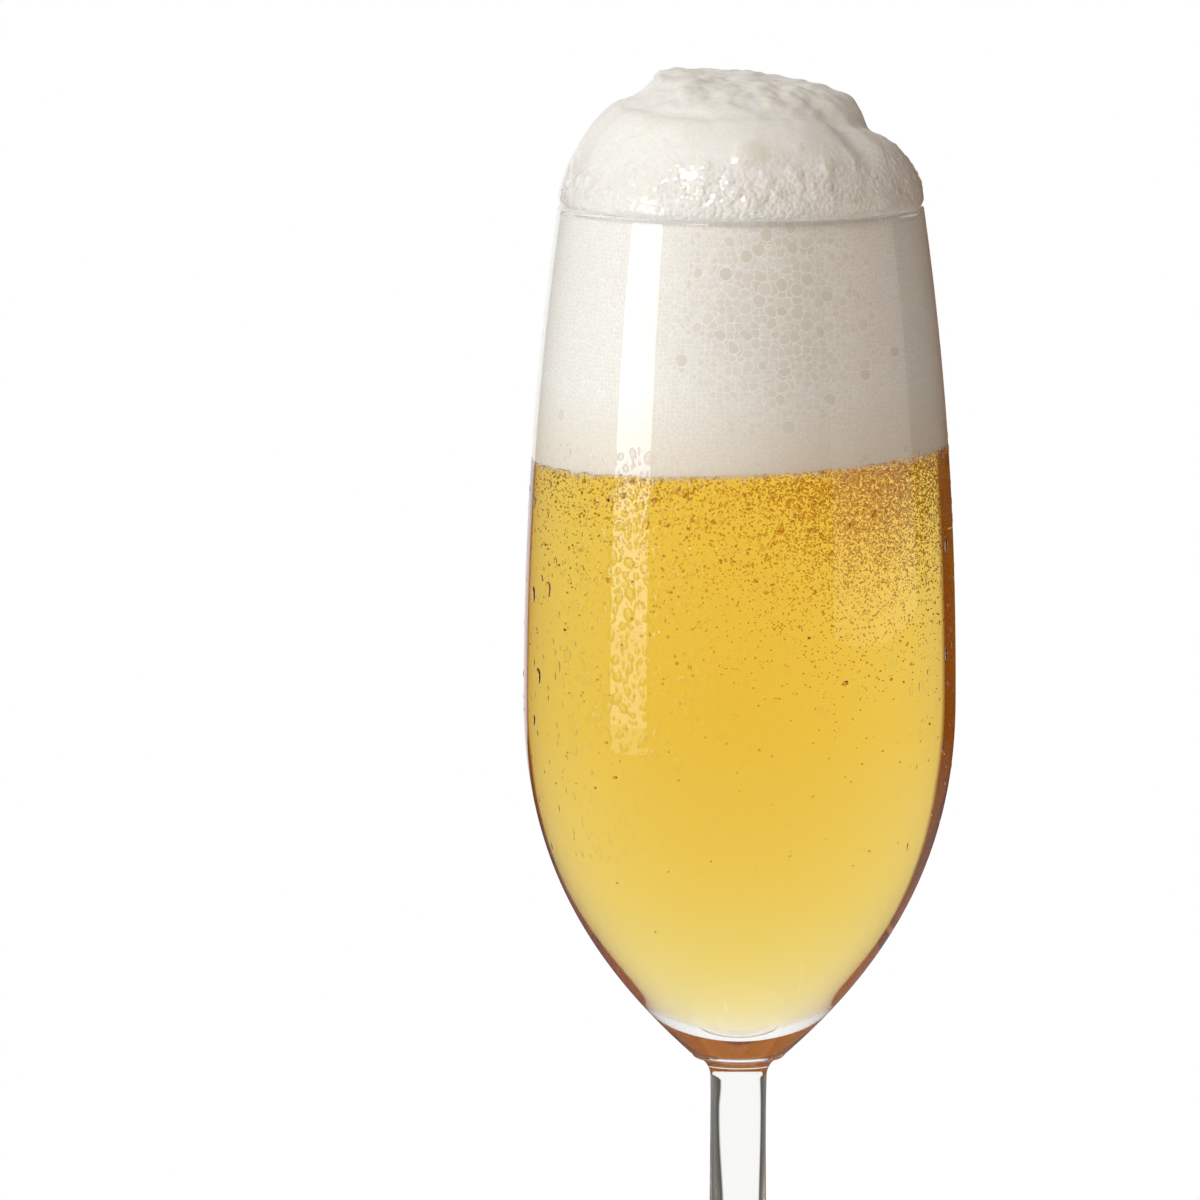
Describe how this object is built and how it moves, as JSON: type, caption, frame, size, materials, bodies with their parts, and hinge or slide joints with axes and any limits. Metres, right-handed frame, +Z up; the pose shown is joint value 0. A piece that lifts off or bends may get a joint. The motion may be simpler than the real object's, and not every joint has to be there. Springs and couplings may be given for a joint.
{
  "type": "tulip beer glass",
  "caption": "Stemmed clear tulip glass with a round foot, filled with golden beer under a tall white head of foam that domes over the rim.",
  "frame": {"origin": "centre of the foot on the table plane, below the axis of the glass", "axes": "+Z up along the axis of the glass, +X towards the side where the foam swells over the lip"},
  "size_m": [0.07, 0.07, 0.2116],
  "materials": {
    "glass": "fire-polished clear soda-lime glass",
    "beer": "clear golden lager",
    "foam": "wet white froth"
  },
  "bodies": {
    "root": {"foot": "glass", "stem": "glass", "collar": "glass", "bowl": "glass", "beer": "beer", "foam_head": "foam"}
  },
  "joints": []
}
